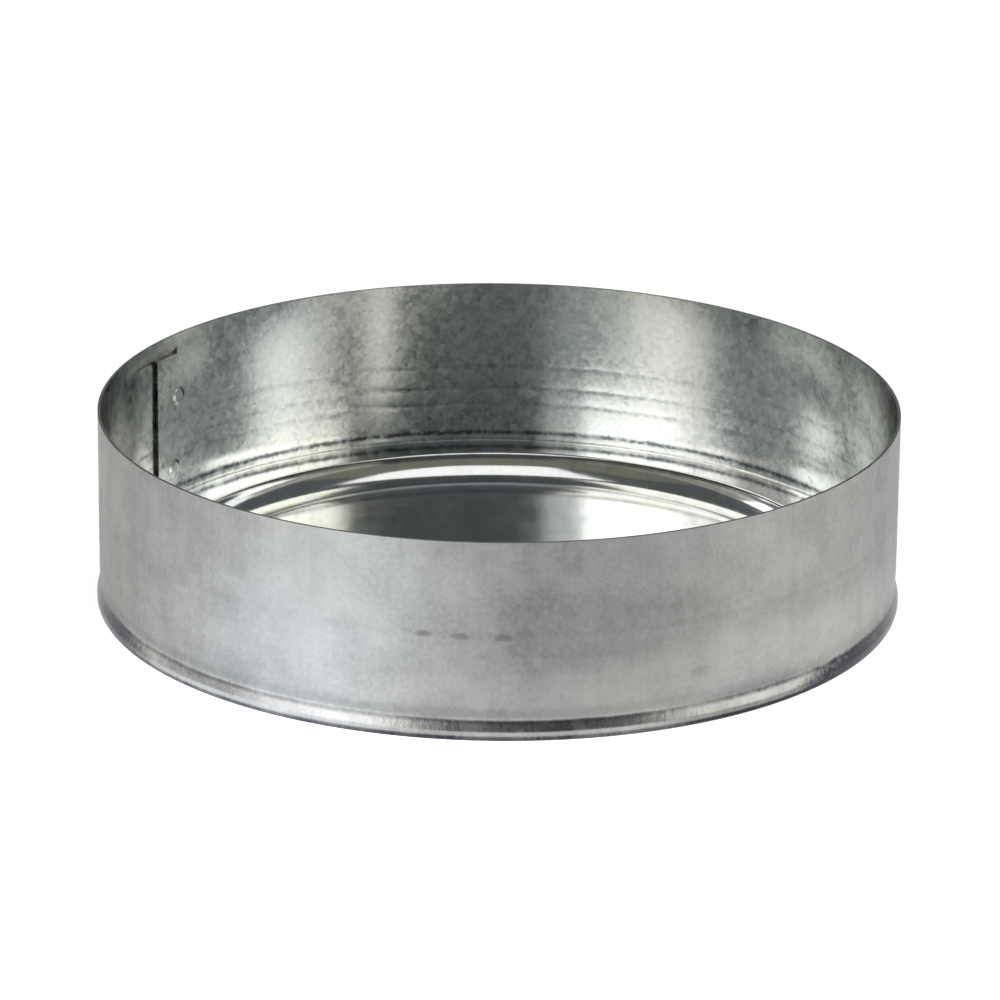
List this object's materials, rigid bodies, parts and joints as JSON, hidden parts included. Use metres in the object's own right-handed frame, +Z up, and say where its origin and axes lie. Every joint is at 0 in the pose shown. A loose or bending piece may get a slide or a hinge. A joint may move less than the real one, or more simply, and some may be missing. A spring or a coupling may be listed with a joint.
{
  "type": "round duct tee cap",
  "caption": "Shallow round sheet-metal cap that closes the open end of a duct tee: lap-jointed collar, end disc rolled into a bead at its foot.",
  "frame": {"origin": "centre of the base, on the plane that the cap stands on", "axes": "+Z up the collar and out of its open side; the view in the picture looks along +Y, and the lap joint is at -X +Y, 152 degrees from +X"},
  "size_m": [0.1534, 0.1534, 0.0381],
  "materials": {
    "collar_sheet": "dull galvanised sheet, fine spangle, faint roller lines",
    "disc_sheet": "brighter, smoother galvanised sheet, pressed"
  },
  "bodies": {
    "root": {"collar": "collar_sheet", "end_disc": "disc_sheet"}
  },
  "joints": []
}
